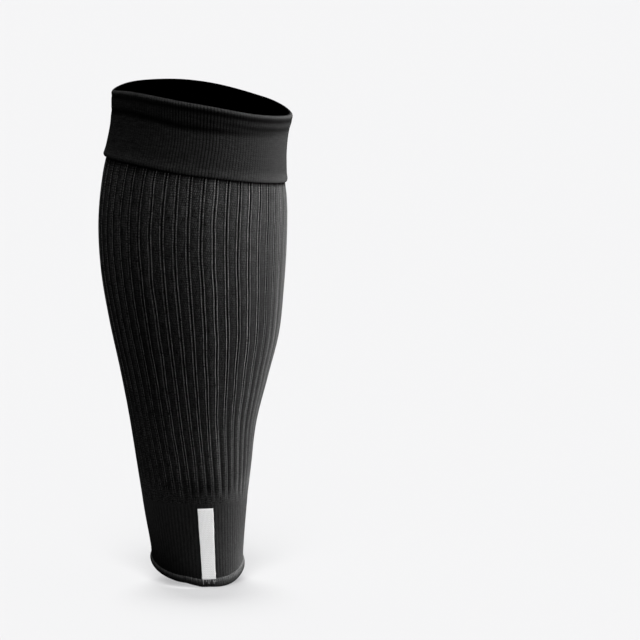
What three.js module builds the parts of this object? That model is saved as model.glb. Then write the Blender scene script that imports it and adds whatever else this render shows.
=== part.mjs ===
// Footless football sock: a knitted sleeve for the lower leg, in the form that it has when it is worn.
// Millimetres, +Z up. The origin is on the leg's axis, halfway up the turned-down cuff. The calf is
// towards -Y and the shin towards +Y. The sock is open from end to end.
import * as THREE from 'three';
import { ParametricGeometry } from 'three/addons/geometries/ParametricGeometry.js';

// Levels of the edges on the leg's axis
const RIM = 23.5;
const CUFF_EDGE = -20.5;
const LEG_TOP = -7;
const BAND_TOP = -230;
const HEM = -270;
const CLEARANCE = 0.3;

// Cuff: the first ply rises inside the leg, folds over the rim and hangs down outside as the second
const CUFF_PLY = 1.2;
const CUFF_SLICES = 60;
const FOLD_DEPTH = 3.2;
const FOLD_STEPS = 4;

// Half widths of the cuff's outer face on its four sides
const CUFF_SECTIONS = [
  { level: 22, left: 51.7, right: 62.7, back: 58.2, front: 58.5, turn: -3 },
  { level: 11, left: 52.2, right: 60.3, back: 57.6, front: 57.5, turn: -3 },
  { level: 0, left: 52.9, right: 59.3, back: 58.4, front: 57.5, turn: -3 },
  { level: -11, left: 54.8, right: 59.4, back: 60.0, front: 58.0, turn: -3 },
  { level: -22, left: 57.3, right: 59.8, back: 61.6, front: 58.8, turn: -3 },
];

// Swell of the cuff's outer face, from its free edge up to the shoulder of the fold, with the crease
// that lies under the fold
const CUFF_SWELL = [
  { level: -20.1, push: 0.2 },
  { level: -16, push: 0.1 },
  { level: -7, push: 0.3 },
  { level: 3, push: 0.2 },
  { level: 10.5, push: -0.6 },
  { level: 16, push: 0.4 },
  { level: 20.5, push: 0.3 },
];

// Outer face of the ply inside the leg, from the fold down to its seam with the leg
const INNER_PLY = [
  { level: 19, push: -1.9 },
  { level: 7, push: -2.2 },
  { level: LEG_TOP + CLEARANCE, push: -2.9 },
];

// Leg: half widths of its outer face over the ribs, and the angle in degrees by which the wales lean
// round the leg on their way down
const LEG_WALL = 2;
const LEG_ROWS = 11;
const LEG_SECTIONS = [
  { level: 0, left: 50.5, right: 55.4, back: 55.6, front: 54.8, turn: 2.5 },
  { level: -30, left: 57.6, right: 59.4, back: 61.0, front: 57.6, turn: -0.4 },
  { level: -60, left: 60.8, right: 59.4, back: 64.0, front: 57.0, turn: -1.7 },
  { level: -90, left: 59.4, right: 57.6, back: 64.0, front: 55.5, turn: -0.6 },
  { level: -120, left: 54.4, right: 54.5, back: 59.5, front: 53.0, turn: 1.1 },
  { level: -150, left: 47.8, right: 47.2, back: 52.0, front: 50.0, turn: 3.3 },
  { level: -180, left: 42.0, right: 39.9, back: 44.5, front: 46.5, turn: 6.1 },
  { level: -210, left: 37.1, right: 36.3, back: 39.0, front: 43.0, turn: 10.6 },
  { level: -240, left: 32.4, right: 33.1, back: 35.5, front: 39.5, turn: 14.5 },
  { level: -270, left: 27.6, right: 30.8, back: 34.0, front: 37.5, turn: 18 },
];

// One rib repeat: a flat band, then two raised wales with a groove between them. The place across the
// repeat is a share of its width.
const RIB_COUNT = 46;
const RIB_WALES = [
  { across: 0, depth: 0.45 },
  { across: 0.36, depth: 0 },
  { across: 0.5, depth: 0.9 },
  { across: 0.64, depth: 0 },
];

// Ankle band and the rolled hem round the foot opening
const BAND_WALL = 1.7;
const BAND_INSET = 0.2;
const BAND_ROWS = 4;
const BAND_SLICES = 64;
const HEM_THICKNESS = 3.8;
const HEM_HEIGHT = 4;
const HEM_PROUD = 1.2;
const HEM_SIDES = 8;

// Stripe on the back of the ankle band
const STRIPE_TOP_LEVEL = -233;
const STRIPE_TOP_WIDTH = 10.2;
const STRIPE_END_WIDTH = 8.6;
const STRIPE_THICKNESS = 0.6;
const STRIPE_ACROSS = 5;
const STRIPE_DOWN = 8;
const STRIPE_ROUND = 0.748;

// How far the edges lie above or below their level round the sock, a row for each eighth of a turn
const EDGE_WANDER = [
  { side: 'right', rim: -7.5, cuff: -7.3, hem: -4.2 },
  { side: 'front right', rim: 1.4, cuff: -5.0, hem: 1.6 },
  { side: 'front', rim: 11.0, cuff: 0.5, hem: 5.0 },
  { side: 'front left', rim: 11.8, cuff: 6.2, hem: 5.5 },
  { side: 'left', rim: 7.6, cuff: 9.5, hem: 1.2 },
  { side: 'back left', rim: 7.4, cuff: 7.2, hem: -5.4 },
  { side: 'back', rim: 1.3, cuff: 0.6, hem: -9.9 },
  { side: 'back right', rim: -6.9, cuff: -5.1, hem: -11.4 },
];

// A smooth curve through four values of a column, at a share of the way from the second to the third.
function throughFour(before, from, to, after, share) {
  const slope = (to - before) * share;
  const bend = (2 * before - 5 * from + 4 * to - after) * share ** 2;
  const twist = (3 * from - before - 3 * to + after) * share ** 3;
  return from + (slope + bend + twist) / 2;
}

// A column of a table of sections at a level. The levels of its rows are evenly spaced.
function atLevel(sections, column, level) {
  const spacing = sections[0].level - sections[1].level;
  const last = sections.length - 1;
  const steps = THREE.MathUtils.clamp((sections[0].level - level) / spacing, 0, last);
  const row = Math.min(Math.floor(steps), last - 1);
  const value = (index) => sections[THREE.MathUtils.clamp(index, 0, last)][column];
  return throughFour(value(row - 1), value(row), value(row + 1), value(row + 2), steps - row);
}

// How far an edge has wandered from its level at an angle round the sock.
function edgeWander(edge, angle) {
  const count = EDGE_WANDER.length;
  const steps = THREE.MathUtils.euclideanModulo(angle / (2 * Math.PI), 1) * count;
  const row = Math.floor(steps);
  const value = (index) => EDGE_WANDER[(index + count) % count][edge];
  return throughFour(value(row - 1), value(row), value(row + 1), value(row + 2), steps - row);
}

// Height of a level at an angle: between two edges the wander of one fades into the other's, and the
// top of the ankle band lies level.
function heightAt(level, angle) {
  if (level > CUFF_EDGE) {
    const share = (level - CUFF_EDGE) / (RIM - CUFF_EDGE);
    return level + THREE.MathUtils.lerp(edgeWander('cuff', angle), edgeWander('rim', angle), share);
  }
  if (level > BAND_TOP) {
    return level + edgeWander('cuff', angle) * (level - BAND_TOP) / (CUFF_EDGE - BAND_TOP);
  }
  return level + edgeWander('hem', angle) * (BAND_TOP - level) / (BAND_TOP - HEM);
}

// A point of the sock: a share of the way round, counted along the knit, at a level, and pushed out
// from the outer face. The angle is eased so that equal shares are equal lengths of the oval section.
function sockPoint(sections, round, level, push, target) {
  const side = (column) => atLevel(sections, column, level);
  const halfWidth = (side('left') + side('right')) / 2;
  const halfDepth = (side('back') + side('front')) / 2;
  const oval = (halfDepth - halfWidth) / (halfDepth + halfWidth);
  const along = 2 * Math.PI * round + THREE.MathUtils.degToRad(side('turn'));
  const angle = along - oval * Math.sin(2 * along) / 2;
  const across = Math.cos(angle);
  const deep = Math.sin(angle);
  const reachAcross = side(across > 0 ? 'right' : 'left') + push;
  const reachDeep = side(deep > 0 ? 'front' : 'back') + push;
  return target.set(across * reachAcross, deep * reachDeep, heightAt(level, angle));
}

// A closed ring of cloth: its wall's outline, a list of levels and pushes that runs up the outside and
// down the inside, is carried round the sock. The relief moves a point in or out at a slice.
function ringWall(sections, outline, slices, roundAt, reliefAt) {
  const surface = (u, v, target) => {
    const slice = Math.round(u * slices) % slices;
    const point = outline[Math.round(v * outline.length) % outline.length];
    const push = point.push - reliefAt(slice, point);
    sockPoint(sections, roundAt(slice), point.level, push, target);
  };
  return new ParametricGeometry(surface, slices, outline.length);
}

const evenRound = (slices) => (slice) => slice / slices;
const noRelief = () => 0;

// The cuff's wall: up its outer face, over the fold, down inside the leg to the seam, back up the inner
// ply's other face, and down again behind the outer ply to the free edge.
function cuffGeometry() {
  const foldRadius = FOLD_DEPTH / 2;
  const fold = [];
  for (let step = 0; step <= FOLD_STEPS; step += 1) {
    const turn = Math.PI * step / FOLD_STEPS;
    fold.push({
      level: RIM - foldRadius + foldRadius * Math.sin(turn),
      push: -foldRadius + foldRadius * Math.cos(turn),
    });
  }
  const inside = INNER_PLY.map(({ level, push }) => ({ level, push: push - CUFF_PLY }));
  const innerPlyBack = INNER_PLY.toReversed();
  const foldPocket = { level: INNER_PLY[0].level + CUFF_PLY / 2, push: -CUFF_PLY - CLEARANCE };
  const outerPlyBack = CUFF_SWELL.slice(1, -1).toReversed();
  const freeEdge = { level: CUFF_EDGE, push: CUFF_SWELL[0].push - CUFF_PLY / 2 };
  const outline = [
    ...CUFF_SWELL,
    ...fold,
    ...inside,
    ...innerPlyBack,
    foldPocket,
    ...outerPlyBack.map(({ level }) => ({ level, push: -CUFF_PLY })),
    { level: CUFF_SWELL[0].level, push: CUFF_SWELL[0].push - CUFF_PLY },
    freeEdge,
  ];
  return ringWall(CUFF_SECTIONS, outline, CUFF_SLICES, evenRound(CUFF_SLICES), noRelief);
}

// The ribbed leg: the ribs are raised on its outer face, and every second row goes on to the inner one.
function legGeometry() {
  const bottom = BAND_TOP + CLEARANCE / 2;
  const outside = [];
  for (let row = 0; row < LEG_ROWS; row += 1) {
    const level = THREE.MathUtils.lerp(bottom, LEG_TOP, row / (LEG_ROWS - 1));
    outside.push({ level, push: 0, ribbed: true });
  }
  const inside = outside.filter((point, row) => row % 2 === 0).toReversed();
  const outline = [...outside, ...inside.map(({ level }) => ({ level, push: -LEG_WALL }))];
  const walesEach = RIB_WALES.length;
  const waleAt = (slice) => RIB_WALES[slice % walesEach];
  const roundAt = (slice) => (Math.floor(slice / walesEach) + waleAt(slice).across) / RIB_COUNT;
  const reliefAt = (slice, point) => (point.ribbed ? waleAt(slice).depth : 0);
  return ringWall(LEG_SECTIONS, outline, RIB_COUNT * walesEach, roundAt, reliefAt);
}

// The plain band round the ankle, from the end of the ribs to the top of the rolled hem.
function bandGeometry() {
  const top = BAND_TOP - CLEARANCE / 2;
  const bottom = HEM + HEM_HEIGHT / 2 + CLEARANCE;
  const outside = [];
  for (let row = 0; row < BAND_ROWS; row += 1) {
    const level = THREE.MathUtils.lerp(bottom, top, row / (BAND_ROWS - 1));
    outside.push({ level, push: -BAND_INSET });
  }
  const inside = outside.toReversed().map(({ level, push }) => ({ level, push: push - BAND_WALL }));
  return ringWall(LEG_SECTIONS, [...outside, ...inside], BAND_SLICES, evenRound(BAND_SLICES), noRelief);
}

// The rolled hem: an oval roll that stands proud of the band above it.
function hemGeometry() {
  const outline = [];
  for (let side = 0; side < HEM_SIDES; side += 1) {
    const turn = 2 * Math.PI * side / HEM_SIDES;
    outline.push({
      level: HEM + HEM_HEIGHT / 2 * Math.sin(turn),
      push: HEM_PROUD - HEM_THICKNESS / 2 + HEM_THICKNESS / 2 * Math.cos(turn),
    });
  }
  return ringWall(LEG_SECTIONS, outline, BAND_SLICES, evenRound(BAND_SLICES), noRelief);
}

// Length round the leg's outer face at a level.
function girthAt(level) {
  const sides = ['left', 'right', 'back', 'front'].map((column) => atLevel(LEG_SECTIONS, column, level));
  return Math.PI / 2 * sides.reduce((sum, reach) => sum + reach);
}

// The stripe: a thin strip that narrows downwards, bent round the back of the ankle band.
function stripeGeometry() {
  const end = HEM + HEM_HEIGHT / 2 + CLEARANCE / 2;
  const geometry = new THREE.BoxGeometry(1, 1, 1, STRIPE_ACROSS, STRIPE_DOWN, 1);
  const position = geometry.attributes.position;
  const point = new THREE.Vector3();
  for (let index = 0; index < position.count; index += 1) {
    point.fromBufferAttribute(position, index);
    const down = 0.5 - point.y;
    const width = THREE.MathUtils.lerp(STRIPE_TOP_WIDTH, STRIPE_END_WIDTH, down);
    const level = THREE.MathUtils.lerp(STRIPE_TOP_LEVEL, end, down);
    const push = CLEARANCE - BAND_INSET + STRIPE_THICKNESS * (point.z + 0.5);
    const round = STRIPE_ROUND + point.x * width / girthAt(level);
    sockPoint(LEG_SECTIONS, round, level, push, point);
    position.setXYZ(index, point.x, point.y, point.z);
  }
  return geometry;
}

const blackKnit = new THREE.MeshStandardMaterial({ color: 0x1c1c1e, roughness: 0.95, metalness: 0 });
const blackRoll = new THREE.MeshStandardMaterial({ color: 0x242426, roughness: 0.9, metalness: 0 });
const whiteKnit = new THREE.MeshStandardMaterial({ color: 0xe4e4e4, roughness: 0.9, metalness: 0 });

const pieces = [
  { name: 'cuff', geometry: cuffGeometry(), material: blackKnit },
  { name: 'leg_tube', geometry: legGeometry(), material: blackKnit },
  { name: 'ankle_band', geometry: bandGeometry(), material: blackKnit },
  { name: 'hem_roll', geometry: hemGeometry(), material: blackRoll },
  { name: 'stripe', geometry: stripeGeometry(), material: whiteKnit },
];

const sock = new THREE.Group();
for (const { name, geometry, material } of pieces) {
  const mesh = new THREE.Mesh(geometry, material);
  mesh.name = name;
  sock.add(mesh);
}

export default sock;
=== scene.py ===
"""Footless football sock: a black knitted sleeve with a turned-down cuff, wide ribs, a fine ankle band and
a plain white stripe.

Meshes, lights and the camera are in metres, the tables in millimetres. +Z is up the leg, and -Y is towards
the calf and the camera.
"""

import bpy
import numpy as np
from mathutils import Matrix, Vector


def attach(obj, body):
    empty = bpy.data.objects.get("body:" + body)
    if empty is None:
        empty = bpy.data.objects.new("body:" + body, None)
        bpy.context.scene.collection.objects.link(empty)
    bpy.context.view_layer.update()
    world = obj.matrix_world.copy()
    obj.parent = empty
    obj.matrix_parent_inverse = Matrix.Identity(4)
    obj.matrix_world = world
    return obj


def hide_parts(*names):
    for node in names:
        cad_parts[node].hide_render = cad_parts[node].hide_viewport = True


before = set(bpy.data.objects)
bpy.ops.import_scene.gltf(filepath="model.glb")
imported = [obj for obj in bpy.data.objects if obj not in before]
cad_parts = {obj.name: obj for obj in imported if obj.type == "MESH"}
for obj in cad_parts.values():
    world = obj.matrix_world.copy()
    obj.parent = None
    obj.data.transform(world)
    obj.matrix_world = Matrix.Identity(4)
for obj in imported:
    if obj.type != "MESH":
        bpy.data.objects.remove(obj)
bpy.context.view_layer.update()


# The cuff
# A welt of fine plain knit, knitted on to the top of the leg and much longer than it looks. It rises
# inside the leg to the rim, turns over there, and hangs down outside to a free edge that grips.
MM = 0.001
RIM = 23.5
CUFF_EDGE = -20.5
CUFF_SEAM = -6.7
BAND_TOP = -230
HEM = -270
CUFF_PLY = 1.2
LIP_HEIGHT = 2.0
LIP_DEPTH = 2.1
FOLD_DEPTH = 3.2
FOLD_HEIGHT = 2.3
CUFF_WALES = 184
WALE_COLUMNS = 4
COURSE = 1.3

# Shades of hidden and raised yarn, between which the relief mark paints shade into the hollows and
# the inside and light onto the crests, how much the tone is mottled, how much painted shade and light the
# stitches show, the depth of a stitch, and the streaks of the mottling to a wale and to a course
CUFF_FINISH = {
    "hidden": 0.0,
    "raised": 0.039,
    "mottle": 1.2,
    "stitches": 0.45,
    "stitch_depth": 0.12,
    "streaks": (0.3, 0.9),
}

# Half widths of the cuff's outer face on its four sides, and the lean of its wales in degrees
CUFF_SECTIONS = {
    "level": [22, 11, 0, -11, -22],
    "left": [51.7, 52.2, 52.9, 54.8, 57.3],
    "right": [62.7, 60.3, 59.3, 59.4, 59.8],
    "back": [58.2, 57.6, 58.4, 60.0, 61.6],
    "front": [58.5, 57.5, 57.5, 58.0, 58.8],
    "turn": [-3, -3, -3.4, -5, -6.5],
}

# How far each edge lies above or below its level, for each eighth of a turn from the right: right, front
# right, front, front left, left, back left, back, back right
EDGE_WANDER = {
    "rim": [-7.5, 1.4, 11.0, 11.8, 7.6, 7.4, 1.3, -6.9],
    "cuff": [-7.3, -5.0, 0.5, 6.2, 9.5, 7.2, 0.6, -5.1],
    "hem": [-4.2, 1.6, 5.0, 5.5, 1.2, -5.4, -9.9, -11.4],
}

# The creases below the fold, for each eighth of a turn from the right: how far below the rim each lies, and
# how deep it is, which sets both its dent and its painted shade. The side crease takes over from the low one
# on the right.
CUFF_CREASES = {
    "high": [3.9, 4.0, 4.2, 4.2, 4.0, 4.4, 4.2, 4.0],
    "high_depth": [0.4, 0.3, 0.3, 0.4, 0.55, 0.45, 0.75, 0.7],
    "side": [9.2, 9.2, 9.2, 9.2, 9.2, 9.2, 9.4, 9.6],
    "side_depth": [0.25, 0.3, 0.1, 0.0, 0.0, 0.0, 0.0, 0.5],
    "low": [12.0, 12.0, 12.6, 13.2, 13.8, 13.5, 15.3, 13.0],
    "low_depth": [0.0, 0.1, 0.3, 0.5, 0.6, 0.75, 0.7, 0.2],
}
CREASE_WIDTHS = {"high": 1.4, "side": 1.5, "low": 1.9}

# For each eighth of a turn from the right: how much painted shade darkens the cloth between the rim and the
# low crease, how far its wales stand out, in relief and in painted light on their ridges and painted shade
# between them, and how much coarser than the rest it looks
CUFF_TONE = {
    "shaded": [0.15, 0.2, 0.2, 0.2, 0.1, 0.1, 0.5, 0.2],
    "wales": [0.0, 0.1, 0.2, 0.15, 0.05, 0.2, 0.55, 0.12],
    "grain": [-0.45, -0.4, 0.0, 0.5, 0.6, 0.7, 0.3, -0.35],
}

# How far the back of the inner ply lies behind the outer face, below the rim and at the seam
INNER_PLY = (-1.9, -2.9)

# How far the outer face stands out: all over, at the free edge, below the rim, in its slow wave and on its
# wales, and how far it is drawn in at a crease
CUFF_SWELL = {"all": 0.15, "edge": 0.25, "rim": 0.35, "wave": 0.25, "wales": 0.25, "creases": 0.45}

# How open the yarn is, how much a painted highlight lightens it at the free edge and along the fold, and how
# fast painted shade darkens it with the depth of a crease
CUFF_YARN = {"open": 0.4, "edge": 0.5, "fold": 1.1, "creases": 2.2}


def through_rows(column, steps, closed=False):
    """A smooth curve through a table's evenly spaced values, read at steps from the first value: a cubic
    through the two nearest values, with slopes from their neighbours. A closed column wraps round."""
    column = np.asarray(column, dtype=float)
    steps = np.asarray(steps, dtype=float)
    count = len(column)
    row = np.floor(steps).astype(int)
    if not closed:
        row = np.clip(row, 0, count - 2)
    share = steps - row
    nearby = row[..., np.newaxis] + np.arange(-1, 3)
    nearby = nearby % count if closed else np.clip(nearby, 0, count - 1)
    before, start, end, after = np.moveaxis(column[nearby], -1, 0)
    slope = (end - before) * share
    bend = (2 * before - 5 * start + 4 * end - after) * share**2
    twist = (3 * start - before - 3 * end + after) * share**3
    return start + (slope + bend + twist) / 2


def at_level(sections, column, level):
    """A column of a table of sections at a level. The levels of its rows are evenly spaced."""
    levels = sections["level"]
    steps = (levels[0] - np.asarray(level)) / (levels[0] - levels[1])
    return through_rows(sections[column], np.clip(steps, 0, len(levels) - 1))


def round_turn(column, angle):
    """A column with a value for each eighth of a turn, at an angle round the sock."""
    return through_rows(column, angle / (2 * np.pi) * len(column), closed=True)


def height_at(level, angle):
    """Height of a level at an angle: between two edges the wander of one fades into the other's, and the
    top of the ankle band lies level."""
    cuff = round_turn(EDGE_WANDER["cuff"], angle)
    rim = round_turn(EDGE_WANDER["rim"], angle)
    hem = round_turn(EDGE_WANDER["hem"], angle)
    on_cuff = cuff + (rim - cuff) * (level - CUFF_EDGE) / (RIM - CUFF_EDGE)
    on_leg = cuff * (level - BAND_TOP) / (CUFF_EDGE - BAND_TOP)
    on_band = hem * (BAND_TOP - level) / (BAND_TOP - HEM)
    return level + np.select([level > CUFF_EDGE, level > BAND_TOP], [on_cuff, on_leg], on_band)


def knit_angle(sections, turned, level):
    """Angle of a place in the knit: its share of a turn and the lean of the wales, eased so that equal
    shares are equal lengths of the oval section."""
    half_width = (at_level(sections, "left", level) + at_level(sections, "right", level)) / 2
    half_depth = (at_level(sections, "back", level) + at_level(sections, "front", level)) / 2
    oval = (half_depth - half_width) / (half_depth + half_width)
    along = 2 * np.pi * turned + np.radians(at_level(sections, "turn", level))
    return along - oval * np.sin(2 * along) / 2


def sock_surface(sections, turned, level, push):
    """Points of the knit in metres: across is the cosine of the angle times the half width on that side,
    deep its sine times the half depth, both with the push outwards added, and up the height of the level."""
    angle = knit_angle(sections, turned, level)
    across = np.cos(angle)
    deep = np.sin(angle)
    width = np.where(across > 0, at_level(sections, "right", level), at_level(sections, "left", level))
    depth = np.where(deep > 0, at_level(sections, "front", level), at_level(sections, "back", level))
    return np.stack([across * (width + push), deep * (depth + push), height_at(level, angle)], axis=-1) * MM


def crease(level, place, width):
    """Share of a crease's depth at a level: a bell curve about its place."""
    return np.exp(-(((level - place) / width) ** 2))


def smooth_step(start, end, value):
    """Eases from 0 at start to 1 at end."""
    share = np.clip((value - start) / (end - start), 0, 1)
    return share * share * (3 - 2 * share)


def ring_of_cloth(name, points, wales, courses, marks, rows_each=None):
    """A closed ring from a grid of points. Rows follow the outline of the wall and columns go round the leg,
    and both join end to end, unless a strip or thread ends after each so many rows. Wales and courses
    number the knit along the columns and rows, with the closing number last, for the knit map. The marks
    are values for each point: relief is the share from the hidden shade to the raised one, which
    carries painted light and shade as well as the yarn's tone, purl the knit's back from its face, and grain
    how much coarser than the rest it looks."""
    rows, columns = points.shape[:2]
    here = np.arange(rows * columns).reshape(rows, columns)
    beside = np.roll(here, -1, axis=1)
    corners = np.stack([here, beside, np.roll(beside, -1, axis=0), np.roll(here, -1, axis=0)], axis=-1)
    wale = np.stack([wales[:-1], wales[1:], wales[1:], wales[:-1]], axis=-1)
    course = np.stack([courses[:-1], courses[:-1], courses[1:], courses[1:]], axis=-1)
    knit = np.stack(np.broadcast_arrays(wale[np.newaxis], course[:, np.newaxis]), axis=-1)
    joined = (np.arange(rows) + 1) % (rows_each or rows + 1) > 0
    mesh = bpy.data.meshes.new(name)
    mesh.from_pydata(points.reshape(-1, 3).tolist(), [], corners[joined].reshape(-1, 4).tolist())
    mesh.uv_layers.new(name="knit").data.foreach_set("uv", knit[joined].ravel())
    for mark, values in marks.items():
        mesh.attributes.new(mark, "FLOAT", "POINT").data.foreach_set("value", values.ravel())
    mesh.shade_smooth()
    ring = bpy.data.objects.new(name, mesh)
    bpy.context.scene.collection.objects.link(ring)
    return ring


def add_node(tree, kind, inputs, **settings):
    """Adds a shader node with these settings. Each named or numbered input takes a value or a link."""
    node = tree.nodes.new(kind)
    for name, value in settings.items():
        setattr(node, name, value)
    for name, value in inputs.items():
        if isinstance(value, bpy.types.NodeSocket):
            tree.links.new(value, node.inputs[name])
        else:
            node.inputs[name].default_value = value
    return node


def add_math(tree, operation, *values):
    """Result of a math node on values and links."""
    return add_node(tree, "ShaderNodeMath", dict(enumerate(values)), operation=operation).outputs[0]


def add_arch(tree, share):
    """An arch over a share from 0 to 1: four times the share times what is left of it."""
    left = add_math(tree, "SUBTRACT", 1.0, share)
    return add_math(tree, "MULTIPLY", add_math(tree, "MULTIPLY", share, left), 4.0)


def add_group(name, inputs, outputs):
    """A shader node group with these sockets. Gives the group, the node with its inputs and the one for
    its outputs."""
    group = bpy.data.node_groups.new(name, "ShaderNodeTree")
    for socket, kind in inputs.items():
        group.interface.new_socket(socket, in_out="INPUT", socket_type=kind)
    for socket, kind in outputs.items():
        group.interface.new_socket(socket, in_out="OUTPUT", socket_type=kind)
    return group, group.nodes.new("NodeGroupInput"), group.nodes.new("NodeGroupOutput")


# Stitches of the knit: how far loops wander across and along, and how often in a metre, the slant of a loop's
# legs, how far and how sharply a loop dips behind the next, and the floor and height of the bumps on the back
STITCH = {
    "wander": (0.3, 1.5, 0),
    "wander_scale": 180.0,
    "slant": 1.5,
    "dip": 0.9,
    "sharpness": 1.7,
    "bump_floor": 0.25,
    "bump_height": 0.5,
}


def make_stitch_group():
    """Stitches from the knit map. On the face of the knit each wale is a column of V-shaped loops, one to a
    course, rounded across each leg of the V and lower where one loop dips behind the next. On its back
    the courses are rows of round bumps, two to a wale, and each row is shifted from the last. The loops
    wander a little from their even places."""
    tree, given, made = add_group(
        "knit_stitch",
        {"Knit": "NodeSocketVector", "Where": "NodeSocketVector", "Purl": "NodeSocketFloat"},
        {"Height": "NodeSocketFloat"},
    )
    noise = add_node(
        tree,
        "ShaderNodeTexNoise",
        {"Vector": given.outputs["Where"], "Scale": STITCH["wander_scale"], "Detail": 1.0},
    )
    aside = add_node(
        tree, "ShaderNodeVectorMath", {0: noise.outputs["Color"], 1: (-0.5, -0.5, -0.5)}, operation="ADD"
    )
    wander = add_node(
        tree,
        "ShaderNodeVectorMath",
        {0: aside.outputs[0], 1: STITCH["wander"], 2: given.outputs["Knit"]},
        operation="MULTIPLY_ADD",
    )
    place = add_node(tree, "ShaderNodeSeparateXYZ", {0: wander.outputs[0]})
    across = add_math(tree, "FRACT", place.outputs["X"])
    from_middle = add_math(tree, "ABSOLUTE", add_math(tree, "SUBTRACT", across, 0.5))
    from_leg = add_math(tree, "ABSOLUTE", add_math(tree, "MULTIPLY_ADD", from_middle, 4.0, -1.0))
    slanted = add_math(tree, "MULTIPLY_ADD", from_middle, -STITCH["slant"], place.outputs["Y"])
    along = add_math(tree, "MULTIPLY_ADD", add_math(tree, "FRACT", slanted), 2.0, -1.0)
    rounded = add_math(tree, "SUBTRACT", 1.0, add_math(tree, "MULTIPLY", from_leg, from_leg))
    loop_end = add_math(tree, "POWER", add_math(tree, "ABSOLUTE", along), STITCH["sharpness"])
    dipped = add_math(tree, "MULTIPLY_ADD", loop_end, -STITCH["dip"], 1.0)
    face = add_math(tree, "MULTIPLY", rounded, dipped)
    shifted = add_math(tree, "MULTIPLY", add_math(tree, "FLOOR", place.outputs["Y"]), 0.5)
    bump_across = add_math(tree, "FRACT", add_math(tree, "MULTIPLY_ADD", place.outputs["X"], 2.0, shifted))
    bump_along = add_math(tree, "FRACT", place.outputs["Y"])
    bumps = add_math(tree, "MULTIPLY", add_arch(tree, bump_across), add_arch(tree, bump_along))
    back = add_math(tree, "MULTIPLY_ADD", bumps, STITCH["bump_height"], STITCH["bump_floor"])
    mixed = add_node(tree, "ShaderNodeMix", {0: given.outputs["Purl"], 2: face, 3: back})
    tree.links.new(mixed.outputs[0], made.inputs["Height"])
    return tree


# Tone of the yarn: how many patches and fibres there are to a metre, how strong patches and streaks are
# beside the fibres and what the three come to on average, the height of a stitch that leaves the tone as it
# is, and how much smoother than the rest a light fibre is
YARN = {
    "patch_scale": 650.0,
    "fibre_scale": 1400.0,
    "patches": 0.4,
    "streaks": 0.8,
    "average": 1.1,
    "even_height": 0.45,
    "smoothness": 0.2,
}


def make_tone_group():
    """Tone of dyed yarn: from the shade of hidden yarn to that of raised yarn by the relief mark and the
    height of the stitch, which paint shade into the hollows and light onto the crests and loops, mottled over
    a few stitches, in streaks across or along the wales and again in the fibres."""
    tree, given, made = add_group(
        "yarn_tone",
        {
            "Where": "NodeSocketVector",
            "Knit": "NodeSocketVector",
            "Hidden": "NodeSocketColor",
            "Raised": "NodeSocketColor",
            "Tone and Light": "NodeSocketFloat",
            "Height": "NodeSocketFloat",
            "Stitches": "NodeSocketFloat",
            "Streaks": "NodeSocketVector",
            "Mottle": "NodeSocketFloat",
        },
        {"Color": "NodeSocketColor", "Roughness": "NodeSocketFloat"},
    )
    patches = add_node(
        tree,
        "ShaderNodeTexNoise",
        {"Vector": given.outputs["Where"], "Scale": YARN["patch_scale"], "Detail": 3.0},
    )
    fibres = add_node(
        tree,
        "ShaderNodeTexNoise",
        {"Vector": given.outputs["Where"], "Scale": YARN["fibre_scale"], "Detail": 2.0},
    )
    drawn_out = add_node(
        tree,
        "ShaderNodeVectorMath",
        {0: given.outputs["Knit"], 1: given.outputs["Streaks"]},
        operation="MULTIPLY",
    )
    streaks = add_node(
        tree, "ShaderNodeTexNoise", {"Vector": drawn_out.outputs[0], "Scale": 1.0, "Detail": 2.0}
    )
    spots = add_math(tree, "MULTIPLY_ADD", patches.outputs[0], YARN["patches"], fibres.outputs[0])
    mottled = add_math(tree, "MULTIPLY_ADD", streaks.outputs[0], YARN["streaks"], spots)
    off_average = add_math(tree, "SUBTRACT", mottled, YARN["average"])
    uneven = add_math(tree, "MULTIPLY", off_average, given.outputs["Mottle"])
    height = add_math(tree, "SUBTRACT", given.outputs["Height"], YARN["even_height"])
    lit = add_math(tree, "MULTIPLY_ADD", height, given.outputs["Stitches"], 1.0)
    even = add_math(tree, "MULTIPLY", given.outputs["Tone and Light"], lit)
    share = add_math(tree, "MULTIPLY", even, add_math(tree, "ADD", uneven, 1.0))
    mix = add_node(
        tree,
        "ShaderNodeMix",
        {0: share, 6: given.outputs["Hidden"], 7: given.outputs["Raised"]},
        data_type="RGBA",
        clamp_factor=True,
    )
    tree.links.new(mix.outputs[2], made.inputs["Color"])
    rough = add_math(tree, "MULTIPLY_ADD", fibres.outputs[0], -YARN["smoothness"], 1.0)
    tree.links.new(rough, made.inputs["Roughness"])
    return tree


stitch_group = make_stitch_group()
tone_group = make_tone_group()


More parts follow.
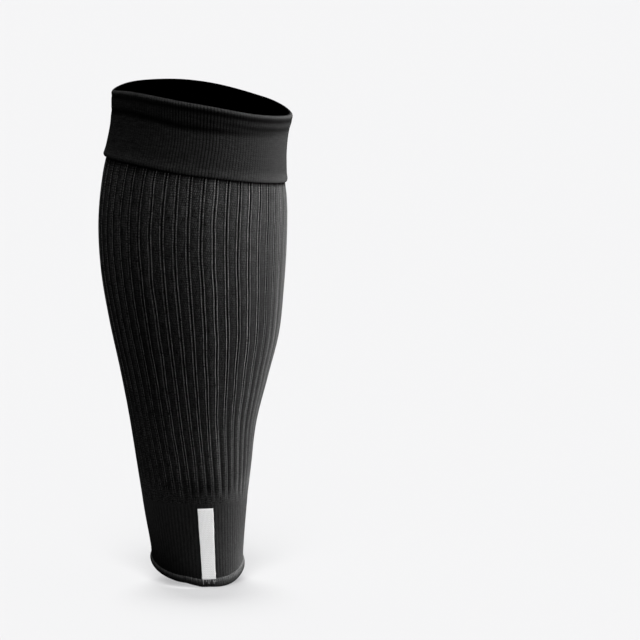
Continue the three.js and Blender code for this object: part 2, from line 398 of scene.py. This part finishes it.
def knit_material(name, hidden, raised, mottle, stitches, stitch_depth, streaks=(2, 0.22)):
    """Knitted cloth: tone from the relief mark, which carries painted light and shade, from the stitches,
    whose height paints them lighter and darker, and from the mottling, and the stitches raised by a bump.
    Its values are those of a finish such as the cuff's, with hidden and raised as greys."""
    material = bpy.data.materials.new(name)
    material.use_nodes = True
    tree = material.node_tree
    shader = tree.nodes["Principled BSDF"]
    knit = add_node(tree, "ShaderNodeUVMap", {}, uv_map="knit")
    where = add_node(tree, "ShaderNodeTexCoord", {})
    relief = add_node(tree, "ShaderNodeAttribute", {}, attribute_name="relief")
    purl = add_node(tree, "ShaderNodeAttribute", {}, attribute_name="purl")
    grain = add_node(tree, "ShaderNodeAttribute", {}, attribute_name="grain")
    stitch = add_node(tree, "ShaderNodeGroup", {}, node_tree=stitch_group)
    tree.links.new(knit.outputs["UV"], stitch.inputs["Knit"])
    tree.links.new(where.outputs["Object"], stitch.inputs["Where"])
    tree.links.new(purl.outputs["Fac"], stitch.inputs["Purl"])
    tone = add_node(tree, "ShaderNodeGroup", {}, node_tree=tone_group)
    tree.links.new(where.outputs["Object"], tone.inputs["Where"])
    tree.links.new(knit.outputs["UV"], tone.inputs["Knit"])
    tree.links.new(relief.outputs["Fac"], tone.inputs["Tone and Light"])
    tree.links.new(stitch.outputs["Height"], tone.inputs["Height"])
    tone.inputs["Hidden"].default_value = (hidden, hidden, hidden, 1)
    tone.inputs["Raised"].default_value = (raised, raised, raised, 1)
    tone.inputs["Streaks"].default_value = (*streaks, 1)
    coarse = add_math(tree, "ADD", grain.outputs["Fac"], 1.0)
    tree.links.new(add_math(tree, "MULTIPLY", coarse, stitches), tone.inputs["Stitches"])
    tree.links.new(add_math(tree, "MULTIPLY", coarse, mottle), tone.inputs["Mottle"])
    height = add_math(tree, "MULTIPLY", coarse, stitch.outputs["Height"])
    bump = add_node(
        tree, "ShaderNodeBump", {"Strength": 1.0, "Distance": stitch_depth * MM, "Height": height}
    )
    tree.links.new(tone.outputs["Color"], shader.inputs["Base Color"])
    tree.links.new(tone.outputs["Roughness"], shader.inputs["Roughness"])
    tree.links.new(bump.outputs["Normal"], shader.inputs["Normal"])
    shader.inputs["Specular IOR Level"].default_value = 0
    return material


def put_on(piece, material, slot, *nodes):
    """Gives a piece its material, and lets it stand for its solids. The slot is not used."""
    piece.data.materials.append(material)
    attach(piece, "root")
    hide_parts(*nodes)


def cuff_outline():
    """Rows of the cuff's wall, with columns level, push, share of the swell and share of lit yarn, which
    leaves the inside and the inner half of the fold in painted shade: up the outer face, over the fold, down
    inside to the seam, up behind the inner ply and down behind the outer one."""
    shoulder = RIM - FOLD_HEIGHT
    over = np.linspace(0, np.pi, 13)
    under = np.linspace(0, np.pi, 11)[1:-1]
    lip = CUFF_EDGE + LIP_HEIGHT
    outer_levels = np.linspace(lip, shoulder - 0.5, 54)
    inner_rows = 14
    inner_levels = np.linspace(shoulder - 2, CUFF_SEAM, inner_rows)
    inner_push = np.linspace(*INNER_PLY, inner_rows)
    behind_rows = 10
    behind_levels = np.linspace(shoulder - 5, lip, behind_rows)
    behind_push = np.linspace(-CUFF_PLY, -LIP_DEPTH, behind_rows)

    def rows(level, push, swell, lit_yarn):
        """Rows with these four columns, where a single value stands for the whole column."""
        return np.column_stack(np.broadcast_arrays(level, push, swell, lit_yarn))

    facing = (1 + np.cos(over)) / 2
    fold_levels = shoulder + FOLD_HEIGHT * np.sin(over)
    turned_out = (1 - np.cos(under)) / 2
    return np.concatenate([
        rows(outer_levels, 0.0, 1.0, 1.0),
        rows(fold_levels, FOLD_DEPTH * (facing - 1), facing, smooth_step(0.3, 0.75, facing)),
        rows(inner_levels, inner_push - CUFF_PLY, 0.0, 0.0),
        rows(inner_levels[::-2], inner_push[::-2], 0.0, 0.0),
        rows(behind_levels, behind_push, 1.0, 0.0),
        rows(lip - LIP_HEIGHT * np.sin(under), -LIP_DEPTH * (1 - turned_out), 1.0, turned_out),
    ])


def cuff_ring():
    """The cuff's wall carried round the sock. Its outer face swells between the creases and its wales are
    ridged."""
    outline = cuff_outline()
    level, push, swell, lit_yarn = (column[:, np.newaxis] for column in outline.T)
    columns = CUFF_WALES * WALE_COLUMNS
    turned = np.arange(columns)[np.newaxis] / columns
    angle = knit_angle(CUFF_SECTIONS, turned, level)
    below_rim = RIM - level
    dents = sum(
        round_turn(CUFF_CREASES[name + "_depth"], angle)
        * crease(below_rim, round_turn(CUFF_CREASES[name], angle), width)
        for name, width in CREASE_WIDTHS.items()
    )
    flare = CUFF_SWELL["edge"] * crease(level, CUFF_EDGE + 2.4, 1.8)
    roll = CUFF_SWELL["rim"] * crease(level, RIM - 3, 6)
    slow_wave = CUFF_SWELL["wave"] * np.sin(3 * angle + 1) * np.sin(level / 9)
    chance = np.random.default_rng(11)
    firm = np.repeat(chance.uniform(0.75, 1.25, CUFF_WALES), WALE_COLUMNS)
    ridge = firm * np.cos(2 * np.pi * CUFF_WALES * turned)
    stand_out = round_turn(CUFF_TONE["wales"], angle)
    ridges = CUFF_SWELL["wales"] * stand_out * ridge * lit_yarn
    proud = CUFF_SWELL["all"] + flare + roll + slow_wave - CUFF_SWELL["creases"] * dents + ridges
    push = push + swell * proud
    points = sock_surface(CUFF_SECTIONS, turned, level, push)
    # Painted light and shade for the relief mark: shade in the creases and between the rim and the low
    # crease, highlights at the free edge and along the fold, and light on the wales' ridges
    below_low = below_rim - round_turn(CUFF_CREASES["low"], angle)
    above_low = smooth_step(2, -1, below_low) * smooth_step(1.5, 3.5, below_rim)
    lip = smooth_step(CUFF_EDGE + 9, CUFF_EDGE + 1.5, level)
    fold_highlight = crease(level, RIM - 0.8, 0.9)
    shade = np.exp(-CUFF_YARN["creases"] * dents) * (1 - round_turn(CUFF_TONE["shaded"], angle) * above_low)
    tone = (1 - swell + swell * shade) * (1 + CUFF_YARN["edge"] * lip + CUFF_YARN["fold"] * fold_highlight)
    relief = CUFF_YARN["open"] * lit_yarn * tone * (1 + stand_out * (1 + 0.5 * above_low) * ridge)
    steps = np.hypot(*np.diff(outline[:, :2], axis=0).T)
    courses = np.concatenate([[0], np.cumsum(steps), [steps.sum() + CUFF_PLY]]) / COURSE
    wales = np.arange(columns + 1) / WALE_COLUMNS
    grain = round_turn(CUFF_TONE["grain"], angle)
    return ring_of_cloth("cuff_knit", points, wales, courses, {"relief": relief, "grain": grain})


cuff = cuff_ring()
put_on(cuff, knit_material("cuff_knit", **CUFF_FINISH), "cuff_knit", "cuff")


# The ribbed leg
# A tube of wide rib knitted down from the cuff. Each repeat has a flat band and two raised wales with a
# groove between them, and the repeats draw together where the leg narrows.
LEG_TOP = -7
LEG_WALL = 2
LEG_ROWS = 96
RIB_COUNT = 46
LEG_COURSE = 1.5
RIB_FINISH = {"hidden": 0.002, "raised": 0.2, "mottle": 2.8, "stitches": 2.3, "stitch_depth": 0.3}

# Half widths of the leg's outer face on its four sides, and the lean of its wales in degrees
LEG_SECTIONS = {
    "level": [0, -30, -60, -90, -120, -150, -180, -210, -240, -270],
    "left": [50.5, 57.6, 60.8, 59.4, 54.4, 47.8, 42.0, 37.1, 32.4, 27.6],
    "right": [55.4, 59.4, 59.4, 57.6, 54.5, 47.2, 39.9, 36.3, 33.1, 30.8],
    "back": [55.6, 61.0, 64.0, 64.0, 59.5, 52.0, 44.5, 39.0, 35.5, 34.0],
    "front": [54.8, 57.6, 57.0, 55.5, 53.0, 50.0, 46.5, 43.0, 39.5, 37.5],
    "turn": [2.5, -0.4, -1.7, -0.6, 1.1, 3.3, 6.1, 10.6, 14.5, 18],
}

# One repeat, from the middle of a band to the middle of the next: the share of the way across, 1 where the
# knit shows its back and 0 where it shows its face, and the depth below the crests and the openness of the
# yarn, which is painted light on the crests and painted shade in the grooves and at the edges of the bands,
# where the rib is stretched wide and where it is drawn together
RIB = {
    "across": [
        0.00, 0.12, 0.24, 0.29, 0.335, 0.378, 0.42, 0.46, 0.50, 0.54, 0.58, 0.622, 0.665, 0.71, 0.76, 0.88
    ],
    "purl": [1, 1, 1, 1, 0, 0, 0, 0, 0, 0, 0, 0, 0, 1, 1, 1],
    "wide_depth": [
        0.45, 0.45, 0.46, 0.42, 0.15, 0, 0.15, 0.60, 0.90, 0.60, 0.15, 0, 0.18, 0.50, 0.55, 0.48
    ],
    "wide_open": [
        0.10, 0.115, 0.12, 0.03, 0.16, 0.75, 0.20, 0.01, 0, 0.01, 0.16, 0.72, 0.14, 0.015, 0.05, 0.09
    ],
    "drawn_depth": [
        0.65, 0.45, 0.30, 0.20, 0.10, 0, 0.05, 0.12, 0.15, 0.12, 0.05, 0, 0.15, 0.30, 0.50, 0.90
    ],
    "drawn_open": [
        0.08, 0.12, 0.16, 0.18, 0.21, 0.33, 0.23, 0.18, 0.16, 0.18, 0.23, 0.32, 0.21, 0.17, 0.12, 0.02
    ],
}

# For each eighth of a turn from the right: the levels between which the ribs draw together, how much more
# the painted light of the crests stands out from the bands at the top and lower down, how far the ribs are
# stretched smooth towards the ankle, how much a painted light patch lightens the cloth below the cuff, how
# many times as light painted light and shade make it lower down and at the ankle, and how much coarser it
# looks
LEG_SIDES = {
    "drawn_from": [0, -60, -175, -175, -200, -205, -185, -115],
    "drawn_to": [-90, -150, -222, -222, -260, -255, -232, -180],
    "clear_top": [-0.35, -0.2, 0.0, 0.0, -0.05, -0.05, -0.05, -0.2],
    "clear_low": [-0.5, -0.3, 0.0, 0.0, 0.0, 0.45, 0.52, 0.15],
    "smooth": [0.3, 0.1, 0.1, 0.3, 0.6, 0.4, 0.0, 0.05],
    "top_tone": [0.0, 0.0, 0.0, 0.0, 0.0, 0.15, 0.6, 0.1],
    "low_tone": [0.75, 0.8, 1.0, 1.1, 1.15, 1.3, 1.28, 0.7],
    "ankle_tone": [1.3, 1.1, 1.0, 1.6, 2.2, 1.7, 0.65, 0.9],
    "grain": [-0.7, -0.5, 0.0, 0.3, 0.3, 0.25, 0.2, -0.4],
}

# Levels between which the ribs are stretched smooth, the crests change, and the painted light and shade of
# the lower leg and of the ankle come in, the level and half height of the painted light patch below the cuff,
# and how much painted light lightens the ends of the ribs beside the ankle band
SMOOTH_LEVELS = (-140, -190)
CLEAR_LEVELS = (-40, -130)
LOW_TONE_LEVELS = (-30, -110)
ANKLE_TONE_LEVELS = (-206, -222)
TOP_PATCH = (-30, 25)
ANKLE_LIGHT = 0.85

# Where the ribs end above the ankle band and how far that differs, the depth and openness of the plain cloth
# past their ends, and the openness that stays as it is where the crests' painted light stands out more
RIB_END = 3.5
RIB_END_SPREAD = 2.5
PLAIN_DEPTH = 0.2
PLAIN_OPEN = 0.11
MIDDLE_OPEN = 0.3

# The ribs' long and short sway to the side: its share of a repeat, and the length of a radian of its wave
LONG_SWAY = (0.03, 11)
SHORT_SWAY = (0.025, 5)


def leg_ring():
    """The leg's wall carried round the sock. The depth of the ribs is taken off its outer face, blended from
    the wide form to the drawn one down the leg, and fades out at the end of each rib."""
    bottom = BAND_TOP - 0.2
    low_rows = bottom + np.array([0, 0.1, 0.4])
    outside = np.append(low_rows, np.linspace(bottom + 1, LEG_TOP, LEG_ROWS))
    inside = outside[::-8]
    level = np.concatenate([outside, inside])[:, np.newaxis]
    ribbed = np.concatenate([np.ones(len(outside)), np.zeros(len(inside))])[:, np.newaxis]
    push = LEG_WALL * (ribbed - 1)
    across = np.tile(RIB["across"], RIB_COUNT)
    rib = np.repeat(np.arange(RIB_COUNT), len(RIB["across"]))
    chance = np.random.default_rng(7)
    end = BAND_TOP + RIB_END + chance.uniform(-RIB_END_SPREAD, RIB_END_SPREAD, RIB_COUNT)[rib]
    kink = chance.uniform(-1, 1, (4, RIB_COUNT))[:, rib]
    firm = chance.uniform(0.8, 1.2, RIB_COUNT)[rib]

    def sway(share, length, size, start):
        """A sine down the leg, with a size and a start for each rib."""
        return share * size * np.sin(level / length + 6 * start)

    swayed = sway(*LONG_SWAY, kink[0], kink[1]) + sway(*SHORT_SWAY, kink[2], kink[3])
    turned = (rib + across + ribbed * swayed) / RIB_COUNT
    angle = knit_angle(LEG_SECTIONS, turned, level)

    def on_side(column):
        """A column of the table of sides, at the angle of each point."""
        return round_turn(LEG_SIDES[column], angle)

    def repeated(column):
        """A column of the table of one repeat, for all the ribs."""
        return np.tile(RIB[column], RIB_COUNT)

    drawn = smooth_step(on_side("drawn_from"), on_side("drawn_to"), level)
    profile = {
        name: (1 - drawn) * repeated("wide_" + name) + drawn * repeated("drawn_" + name)
        for name in ("depth", "open")
    }
    smooth = on_side("smooth") * smooth_step(*SMOOTH_LEVELS, level)
    fade = smooth_step(-1, 7, level - end) * (1 - smooth)
    tuck = 0.1 * smooth_step(bottom + 0.4, bottom, level)
    depth = profile["depth"] * fade + PLAIN_DEPTH * (1 - fade) + tuck
    points = sock_surface(LEG_SECTIONS, turned, level, push - ribbed * depth)
    # A painted shadow under the cuff's free edge
    cuff_shadow = smooth_step(CUFF_EDGE - 0.7, CUFF_EDGE - 2.2, level)
    lower = smooth_step(*CLEAR_LEVELS, level)
    clear = (1 - lower) * on_side("clear_top") + lower * on_side("clear_low")
    cleared = profile["open"] * (1 + clear * (profile["open"] / MIDDLE_OPEN - 1))
    lit_yarn = firm * cleared * fade + PLAIN_OPEN * (1 - fade)
    # Painted light and shade round the sides: a light patch below the cuff, and lighter and darker sides
    # lower down and at the ankle
    low_tone = on_side("low_tone")
    end_tone = ANKLE_LIGHT * on_side("ankle_tone")
    painted_light = 1 + on_side("top_tone") * crease(level, *TOP_PATCH)
    painted_light = painted_light + (low_tone - 1) * smooth_step(*LOW_TONE_LEVELS, level)
    painted_light = painted_light + (end_tone - low_tone) * smooth_step(*ANKLE_TONE_LEVELS, level)
    relief = ribbed * lit_yarn * cuff_shadow * painted_light
    wales = np.append(np.interp(across, [0, 0.29, 0.5, 0.71, 1], [0, 1, 2, 3, 4]) + 4 * rib, 4 * RIB_COUNT)
    steps = np.abs(np.diff(level[:, 0]))
    courses = np.concatenate([[0], np.cumsum(steps), [steps.sum() + LEG_WALL]]) / LEG_COURSE
    purl = np.broadcast_to(repeated("purl"), relief.shape)
    marks = {"relief": relief, "purl": purl, "grain": on_side("grain")}
    return ring_of_cloth("leg_ribs", points, wales, courses, marks)


leg = leg_ring()
put_on(leg, knit_material("rib_knit", **RIB_FINISH), "rib_knit", "leg_tube")


# The ankle band
# A close band of fine rib in the same black yarn, knitted on from the end of the wide ribs. It runs down to
# the hem, where it swells a little over the roll.
BAND_WALL = 1.1
BAND_TURN_IN = 1.7
BAND_INSET = 0.2
BAND_RIBS = 92
BAND_RIB_COLUMNS = 6
BAND_RIB_HEIGHT = 0.07
# How open the band's yarn is, and how much its fine ribs add to that, in painted light on their crests and
# painted shade between them
BAND_OPEN = 0.34
BAND_RIB_OPEN = 0.09
HEM_SWELL = 0.3
BAND_FINISH = {"hidden": 0.003, "raised": 0.052, "mottle": 1.5, "stitches": 0.12, "stitch_depth": 0.1}

# How many times as light as the rest painted light and shade make the cloth above the hem, for each eighth
# of a turn from the right
FOOT_TONE = [1.7, 1.2, 1.0, 0.9, 0.8, 0.65, 0.75, 1.05]

# How much of that tone is lost in the hollow above the hem, in the same way
HOLLOW_SHADE = [0, 0.1, 0.3, 0.4, 0.5, 0.6, 0.6, 0.2]


def hem_swell(level):
    """How far the cloth swells out towards the hem at a level, in millimetres."""
    return HEM_SWELL * smooth_step(HEM + 8, HEM + 2, level)


def band_ring():
    """The band's wall carried round the ankle, with a shallow wave for each fine rib. Its top is tucked in
    behind the end of the wide ribs."""
    outside = np.append(np.linspace(HEM + 0.5, BAND_TOP - 0.3, 48), BAND_TOP + np.array([-0.1, 0.1, 0.3]))
    inside = outside[::-4]
    level = np.concatenate([outside, inside])[:, np.newaxis]
    outer = np.concatenate([np.ones(len(outside)), np.zeros(len(inside))])[:, np.newaxis]
    columns = BAND_RIBS * BAND_RIB_COLUMNS
    turned = np.arange(columns)[np.newaxis] / columns
    ridge = np.cos(2 * np.pi * (BAND_RIBS * turned + 0.28))
    below = smooth_step(BAND_TOP, BAND_TOP - 3, level)
    tuck = 0.2 * smooth_step(BAND_TOP - 0.1, BAND_TOP + 0.3, level)
    swelled = BAND_RIB_HEIGHT * below * ridge + hem_swell(level) - tuck
    push = -BAND_INSET - (1 - outer) * BAND_WALL + outer * swelled
    points = sock_surface(LEG_SECTIONS, turned, level, push)
    angle = knit_angle(LEG_SECTIONS, turned, level)
    # Painted light and shade round the sides at the ankle and above the hem, and painted shade in the hollow
    # above the hem
    ankle_tone = round_turn(LEG_SIDES["ankle_tone"], angle)
    foot_tone = round_turn(FOOT_TONE, angle)
    painted_light = foot_tone + (ankle_tone - foot_tone) * smooth_step(HEM, BAND_TOP - 5, level)
    hollow = 1 - round_turn(HOLLOW_SHADE, angle) * crease(level, HEM + 2, 6)
    relief = outer * (BAND_OPEN + BAND_RIB_OPEN * below * ridge) * painted_light * hollow
    wales = 2 * np.arange(columns + 1) / BAND_RIB_COLUMNS
    steps = np.abs(np.diff(level[:, 0]))
    courses = np.concatenate([[0], np.cumsum(steps), [steps.sum() + BAND_TURN_IN]]) / COURSE
    return ring_of_cloth("ankle_band_knit", points, wales, courses, {"relief": relief})


band = band_ring()
put_on(band, knit_material("band_knit", **BAND_FINISH), "band_knit", "ankle_band")


# The rolled hem
# The end of the band turned over into a thick roll and bound with an overlock stitch, whose threads wrap
# it all the way round.
HEM_THICKNESS = 3.8
HEM_HEIGHT = 4
HEM_PROUD = 1.2
HEM_ROWS = 24
HEM_WRAPS = 128
WRAP_COLUMNS = 6
WRAP_HEIGHT = 0.07
WRAP_SLANT = 1.2
HEM_FINISH = {"hidden": 0.003, "raised": 0.075, "mottle": 2.2, "stitches": 0.4, "stitch_depth": 0.2}

# Where the roll dips and rises a little beside the stripe, in shares of a turn, and how far
HEM_DIP = 0.726
HEM_RISE = 0.676
HEM_WAVE = 0.4
HEM_WAVE_WIDTH = 0.018

# How open the yarn is all round the roll, the painted highlight on its crest, how much the wraps paint it
# lighter and darker, and where the crest lies and how wide it is, in degrees up from the outside
HEM_YARN = {"all": 0.14, "crest": 0.5, "wraps": 0.25}
HEM_CREST = (62, 42)

# How much higher the roll reaches up the band, in millimetres, and how much stronger the painted highlight
# on its crest is, for each eighth of a turn from the right
HEM_ROLL = {
    "taller": [1.6, 0.5, 0, 0, 0, 0, 0, 1.2],
    "lighter": [0.4, 0.1, 0, 0, 0, 0, 0, 0.3],
}


def hem_ring():
    """An oval roll carried round the foot opening, with a shallow wave for each slanting wrap of thread. It
    dips and rises beside the stripe and reaches higher on the right."""
    turn = np.linspace(0, 2 * np.pi, HEM_ROWS, endpoint=False)[:, np.newaxis]
    columns = HEM_WRAPS * WRAP_COLUMNS
    turned = np.arange(columns)[np.newaxis] / columns
    wrap = np.cos(2 * np.pi * HEM_WRAPS * turned + WRAP_SLANT * turn)
    radius = HEM_THICKNESS / 2 + WRAP_HEIGHT * wrap
    dip = HEM_WAVE * crease(turned, HEM_DIP, HEM_WAVE_WIDTH)
    wave = dip - HEM_WAVE * crease(turned, HEM_RISE, HEM_WAVE_WIDTH)
    angle = knit_angle(LEG_SECTIONS, turned, HEM)
    taller = round_turn(HEM_ROLL["taller"], angle) * (np.sin(turn) > 0)
    level = HEM - wave + (HEM_HEIGHT / 2 + taller + WRAP_HEIGHT * wrap) * np.sin(turn)
    push = HEM_PROUD - HEM_THICKNESS / 2 + radius * np.cos(turn)
    points = sock_surface(LEG_SECTIONS, turned, level, push)
    # The crest of the roll is a painted highlight, stronger on the right
    lit = HEM_YARN["crest"] * crease(np.degrees(turn), *HEM_CREST)
    lighter = 1 + round_turn(HEM_ROLL["lighter"], angle)
    relief = (HEM_YARN["all"] + lit * lighter) * (1 + HEM_YARN["wraps"] * wrap)
    wales = np.arange(columns + 1) / WRAP_COLUMNS
    courses = np.arange(HEM_ROWS + 1) / 2
    return ring_of_cloth("hem_roll_knit", points, wales, courses, {"relief": relief})


hem = hem_ring()
put_on(hem, knit_material("hem_knit", **HEM_FINISH), "hem_knit", "hem_roll")


# The stripe
# A plain strip of close white knit, knitted in at the back of the ankle band. It narrows towards the hem,
# which holds its lower end.
STRIPE_TOP_LEVEL = -232.4
STRIPE_END_LEVEL = -268.5
STRIPE_TOP_WIDTH = 10.2
STRIPE_END_WIDTH = 8.6
STRIPE_TURNED = 0.748
STRIPE_SEAT = -0.3
STRIPE_THICKNESS = 0.6
STRIPE_UNEVEN = 0.03
STRIPE_WALES = 6
STRIPE_COURSE = 1.1
STRIPE_FINISH = {"hidden": 0.45, "raised": 0.8, "mottle": 0.25, "stitches": 0.4, "stitch_depth": 0.12}

# How open the yarn is in the middle, how much painted light lightens it towards the left edge, against the
# lamps on the right, and how much lighter it is towards the top
STRIPE_YARN = {"middle": 0.58, "left": 0.42, "top": 0.4}


def girth_at(level):
    """Length round the leg's outer face at a level, in millimetres."""
    sides = ("left", "right", "back", "front")
    return np.pi / 2 * sum(at_level(LEG_SECTIONS, side, level) for side in sides)


def stripe_strip():
    """A thin strip bent round the back of the ankle: the loop of its section, flat with round edges, carried
    up its length. Its edges are a little uneven, and it thins to nothing at both ends."""
    loop = np.linspace(0, 2 * np.pi, 64, endpoint=False)[np.newaxis]
    across = -np.cos(loop)
    up = np.linspace(0, 1, 90)[:, np.newaxis]
    chance = np.random.default_rng(3)
    beat = chance.uniform(0, 6, (2, 4))
    pace = np.array([9, 17, 31, 53])
    waves = np.sin(up[..., np.newaxis] * pace + beat[:, np.newaxis, np.newaxis])
    uneven = STRIPE_UNEVEN * waves.sum(axis=-1)
    level = STRIPE_END_LEVEL + (STRIPE_TOP_LEVEL - STRIPE_END_LEVEL) * up
    half = (STRIPE_END_WIDTH + (STRIPE_TOP_WIDTH - STRIPE_END_WIDTH) * up) / 2
    reach = across * (half + np.where(across > 0, uneven[0], uneven[1]))
    ends = np.clip(np.minimum(up, 1 - up) * 60, 0, 1) ** 0.5
    bulge = np.sign(np.sin(loop)) * np.abs(np.sin(loop)) ** 0.3
    push = STRIPE_SEAT + hem_swell(level) + STRIPE_THICKNESS / 2 * (1 + ends * bulge)
    points = sock_surface(LEG_SECTIONS, STRIPE_TURNED + reach / girth_at(level), level, push)
    wales = np.append((across[0] + 1) / 2 * STRIPE_WALES, 0)
    courses = np.append(level[:, 0], STRIPE_TOP_LEVEL) / STRIPE_COURSE
    # Painted light lightens the stripe towards its left edge, against the lamps on the right
    relief = STRIPE_YARN["middle"] - STRIPE_YARN["left"] * across + STRIPE_YARN["top"] * (up - 0.5)
    return ring_of_cloth("stripe_knit", points, wales, courses, {"relief": relief}, len(level))


stripe = stripe_strip()
put_on(stripe, knit_material("stripe_knit", **STRIPE_FINISH), "stripe_knit", "stripe")


# The stripe's threads
# Short ends of the stripe's white yarn, left over where it was knitted in. They are caught under the overlock
# and show between its wraps on the hem.
THREAD_RADIUS = 0.15
THREAD_LIFT = 0.05
THREAD_START = 105
THREAD_OPEN = 0.45
THREAD_FINISH = {"hidden": 0.05, "raised": 0.5, "mottle": 0.8, "stitches": 0.3, "stitch_depth": 0.05}

# For each thread: its distance to the right of the stripe's middle, how far it leans to the right on its way
# down, and the degrees that it reaches round the roll
THREADS = {
    "across": [-4.6, -3.4, -2.2, -0.6, 0.9, 2.5, 3.7],
    "lean": [1.0, -0.4, 0.5, 0.2, -0.5, 0.4, 0.3],
    "reach": [135, 110, 90, 120, 85, 125, 95],
}


def thread_ends():
    """Thin tubes that start at the top of the rolled hem and run down over it, leaning a little: each point
    is a loop's way round the tube from a line on the roll, and the tubes close to a point at both ends."""
    across, lean, reach = (np.array(column)[:, np.newaxis, np.newaxis] for column in THREADS.values())
    along = np.linspace(0, 1, 12)[np.newaxis, :, np.newaxis]
    loop = np.linspace(0, 2 * np.pi, 8, endpoint=False)
    turn = np.radians(THREAD_START - reach * along)
    radius = THREAD_RADIUS * np.sqrt(1 - (2 * along - 1) ** 6)
    out = THREAD_LIFT + radius * np.sin(loop)
    level = HEM + (HEM_HEIGHT / 2 + out) * np.sin(turn)
    push = HEM_PROUD - HEM_THICKNESS / 2 + (HEM_THICKNESS / 2 + out) * np.cos(turn)
    aside = across + lean * along + radius * np.cos(loop)
    points = sock_surface(LEG_SECTIONS, STRIPE_TURNED + aside / girth_at(HEM), level, push)
    rows = points.reshape(-1, len(loop), 3)
    wales = np.arange(len(loop) + 1) / len(loop)
    courses = np.arange(len(rows) + 1) / 4
    relief = np.full(rows.shape[:2], THREAD_OPEN)
    return ring_of_cloth("stripe_threads", rows, wales, courses, {"relief": relief}, along.size)


threads = thread_ends()
put_on(threads, knit_material("thread_yarn", **THREAD_FINISH), "stripe_knit")


# The studio
# A wide pale floor just below the hem, and large soft lights that fall on the sock alone, with one more on
# the stripe. The floor has its own lights from behind and in front, so that only the ankle throws a short
# soft shadow on it.
FLOOR = -284.6
FLOOR_REACH = 60
FLOOR_COLOUR = (0.3, 0.3, 0.3, 1)
FLOOR_GLOW_COLOUR = (1, 1, 1.02, 1)
FLOOR_GLOW = 0.347
BACKDROP_COLOUR = (0.99, 0.99, 1, 1)
BACKDROP_LIGHT = 0.91
ROOM_LIGHT = 0.13
SOCK_MIDDLE = Vector((0, 0, -0.12))
AIM = Vector((0.08053, 0, -0.11650))
CAMERA_AWAY = 2.3
CAMERA_RISE = 6
CAMERA_LENS = 202.15
CAMERA_SENSOR = 36


def aimed_from(place, target):
    """Turn of a light or camera at a place so that it faces a target."""
    return (target - place).to_track_quat("-Z", "Y").to_euler()


def pieces_together(name, *pieces):
    """A collection of pieces that a light falls on or that shade it."""
    collection = bpy.data.collections.new(name)
    for piece in pieces:
        collection.objects.link(piece)
    return collection


def add_light(name, kind, place, energy, lit, shading=None, **settings):
    """A light aimed at the middle of the sock that falls on the lit pieces only. Every piece shades it,
    unless the shading ones are named."""
    light = bpy.data.lights.new(name, kind)
    light.energy = energy
    for setting, value in settings.items():
        setattr(light, setting, value)
    lamp = bpy.data.objects.new(name, light)
    lamp.location = place
    lamp.rotation_euler = aimed_from(lamp.location, SOCK_MIDDLE)
    lamp.light_linking.receiver_collection = lit
    lamp.light_linking.blocker_collection = shading
    bpy.context.scene.collection.objects.link(lamp)


floor_mesh = bpy.data.meshes.new("floor")
floor_signs = ((-1, -1), (1, -1), (1, 1), (-1, 1))
floor_corners = [(x * FLOOR_REACH, y * FLOOR_REACH, FLOOR * MM) for x, y in floor_signs]
floor_mesh.from_pydata(floor_corners, [], [(0, 1, 2, 3)])
floor = bpy.data.objects.new("floor", floor_mesh)
bpy.context.scene.collection.objects.link(floor)
floor_material = bpy.data.materials.new("pale_floor")
floor_material.use_nodes = True
floor_shader = floor_material.node_tree.nodes["Principled BSDF"]
floor_shader.inputs["Base Color"].default_value = FLOOR_COLOUR
floor_shader.inputs["Emission Color"].default_value = FLOOR_GLOW_COLOUR
floor_shader.inputs["Emission Strength"].default_value = FLOOR_GLOW
floor_shader.inputs["Roughness"].default_value = 1
floor_shader.inputs["Specular IOR Level"].default_value = 0
floor_mesh.materials.append(floor_material)
floor.visible_diffuse = False

sock_only = pieces_together("sock_only", cuff, leg, band, hem, stripe, threads)
ankle_only = pieces_together("ankle_only", band, hem, stripe, threads)
stripe_only = pieces_together("stripe_only", stripe)
floor_only = pieces_together("floor_only", floor)

add_light("overhead", "SUN", (0, 0, 2), 3.2, sock_only, angle=np.radians(50))
add_light("floor_back", "SUN", (-0.28, 2, 1.75), 3.7, floor_only, ankle_only, angle=np.radians(40))
add_light("floor_front", "SUN", (0, -2, 0.85), 7.0, floor_only, ankle_only, angle=np.radians(40))
add_light("stripe_light", "SUN", (-1.64, -1.14, -0.12), 3.0, stripe_only, angle=np.radians(30))
for name, place, energy, width in (
    ("key", (1.37, 0.82, -0.12), 222, 1.77),
    ("side_light", (1.5, -0.55, -0.12), 40, 1.77),
    ("shin_light", (-0.2, 1.6, -0.05), 24, 1.0),
):
    add_light(name, "AREA", place, energy, sock_only, shape="RECTANGLE", size=width, size_y=0.9)

world = bpy.data.worlds.new("studio")
world.use_nodes = True
bpy.context.scene.world = world
backdrop = world.node_tree.nodes["Background"]
seen = world.node_tree.nodes.new("ShaderNodeLightPath")
strength = add_node(
    world.node_tree,
    "ShaderNodeMapRange",
    {"Value": seen.outputs["Is Camera Ray"], "To Min": ROOM_LIGHT, "To Max": BACKDROP_LIGHT},
)
world.node_tree.links.new(strength.outputs["Result"], backdrop.inputs["Strength"])
backdrop.inputs["Color"].default_value = BACKDROP_COLOUR

camera = bpy.data.objects.new("camera", bpy.data.cameras.new("camera"))
camera.data.lens = CAMERA_LENS
camera.data.sensor_width = CAMERA_SENSOR
rise = np.radians(CAMERA_RISE)
camera.location = AIM + CAMERA_AWAY * Vector((0, -np.cos(rise), np.sin(rise)))
camera.rotation_euler = aimed_from(camera.location, AIM)
bpy.context.scene.collection.objects.link(camera)
bpy.context.scene.camera = camera
bpy.context.scene.view_settings.view_transform = "Standard"
